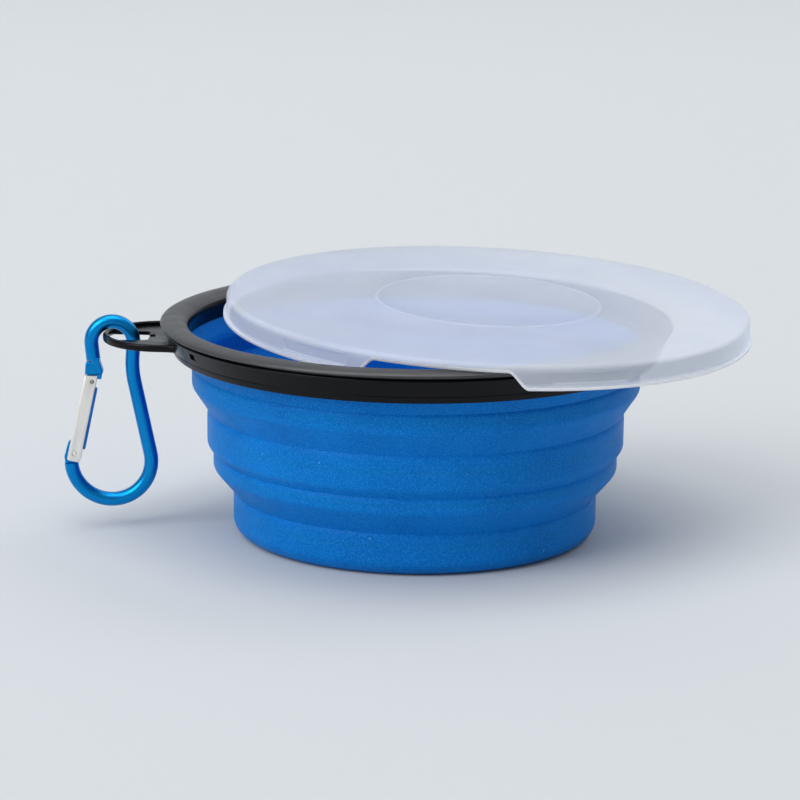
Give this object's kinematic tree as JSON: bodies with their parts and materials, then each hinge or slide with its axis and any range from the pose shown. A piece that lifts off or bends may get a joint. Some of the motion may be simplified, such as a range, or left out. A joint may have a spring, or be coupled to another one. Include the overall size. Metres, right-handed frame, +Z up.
{
  "type": "collapsible travel bowl",
  "caption": "Blue silicone collapsible travel bowl with a black rim, hang tab, carabiner clip and a frosted lid laid askew on top.",
  "frame": {"origin": "centre of the flat underside of the base", "axes": "+Z up along the bowl's axis, -X towards the hang tab, +Y away from the viewer of the picture"},
  "size_m": [0.1753, 0.1362, 0.0623],
  "materials": {
    "silicone": "satin moulded silicone",
    "rim_plastic": "satin moulded black",
    "frosted_plastic": "frosted translucent",
    "clip_blue": "blue anodised satin",
    "gate_metal": "plain satin",
    "pin_steel": "plain",
    "spring_steel": "blued"
  },
  "bodies": {
    "rim": {"rim_ring": "rim_plastic", "rim_lock_ring": "rim_plastic", "bowl_flange": "silicone", "collar_fold": "silicone"},
    "collar": {"collar_band": "silicone", "upper_fold": "silicone"},
    "middle": {"middle_band": "silicone", "middle_fold": "silicone"},
    "lower": {"lower_band": "silicone", "lower_fold": "silicone"},
    "base": {"base_cup": "silicone"},
    "lid": {"lid": "frosted_plastic"},
    "carabiner": {"carabiner_frame": "clip_blue", "gate_hinge_pin": "pin_steel"},
    "gate": {"carabiner_gate": "gate_metal", "gate_latch_pin": "pin_steel", "gate_spring": "spring_steel"}
  },
  "joints": [
    {"name": "collar_rise", "type": "slide", "parent": "rim", "child": "collar", "axis": [0, 0, 1], "range_m": [0, 0.007], "deforming": ["collar_fold"]},
    {"name": "middle_rise", "type": "slide", "parent": "collar", "child": "middle", "axis": [0, 0, 1], "range_m": [0, 0.0126], "deforming": ["upper_fold"]},
    {"name": "lower_rise", "type": "slide", "parent": "middle", "child": "lower", "axis": [0, 0, 1], "range_m": [0, 0.0042], "deforming": ["middle_fold"]},
    {"name": "base_rise", "type": "slide", "parent": "lower", "child": "base", "axis": [0, 0, 1], "range_m": [0, 0.0126], "deforming": ["lower_fold"]},
    {"name": "lid_lift", "type": "slide", "parent": "rim", "child": "lid", "axis": [0, 0, 1], "range_m": [0, 0.06]},
    {"name": "carabiner_swing", "type": "hinge", "parent": "rim", "child": "carabiner", "pos_m": [-0.07739, 0, 0.04829], "axis": [0, 1, 0], "range_deg": [-14, 100]},
    {"name": "gate_open", "type": "hinge", "parent": "carabiner", "child": "gate", "pos_m": [-0.08716, 0, 0.01924], "axis": [0, 1, 0], "range_deg": [0, 20], "stiffness_Nm_per_rad": 0.008, "springref_deg": -20.05}
  ],
  "couplings": [
    {"joint": "middle_rise", "follows": "collar_rise", "ratio": 1.8},
    {"joint": "lower_rise", "follows": "collar_rise", "ratio": 0.6},
    {"joint": "base_rise", "follows": "collar_rise", "ratio": 1.8}
  ]
}
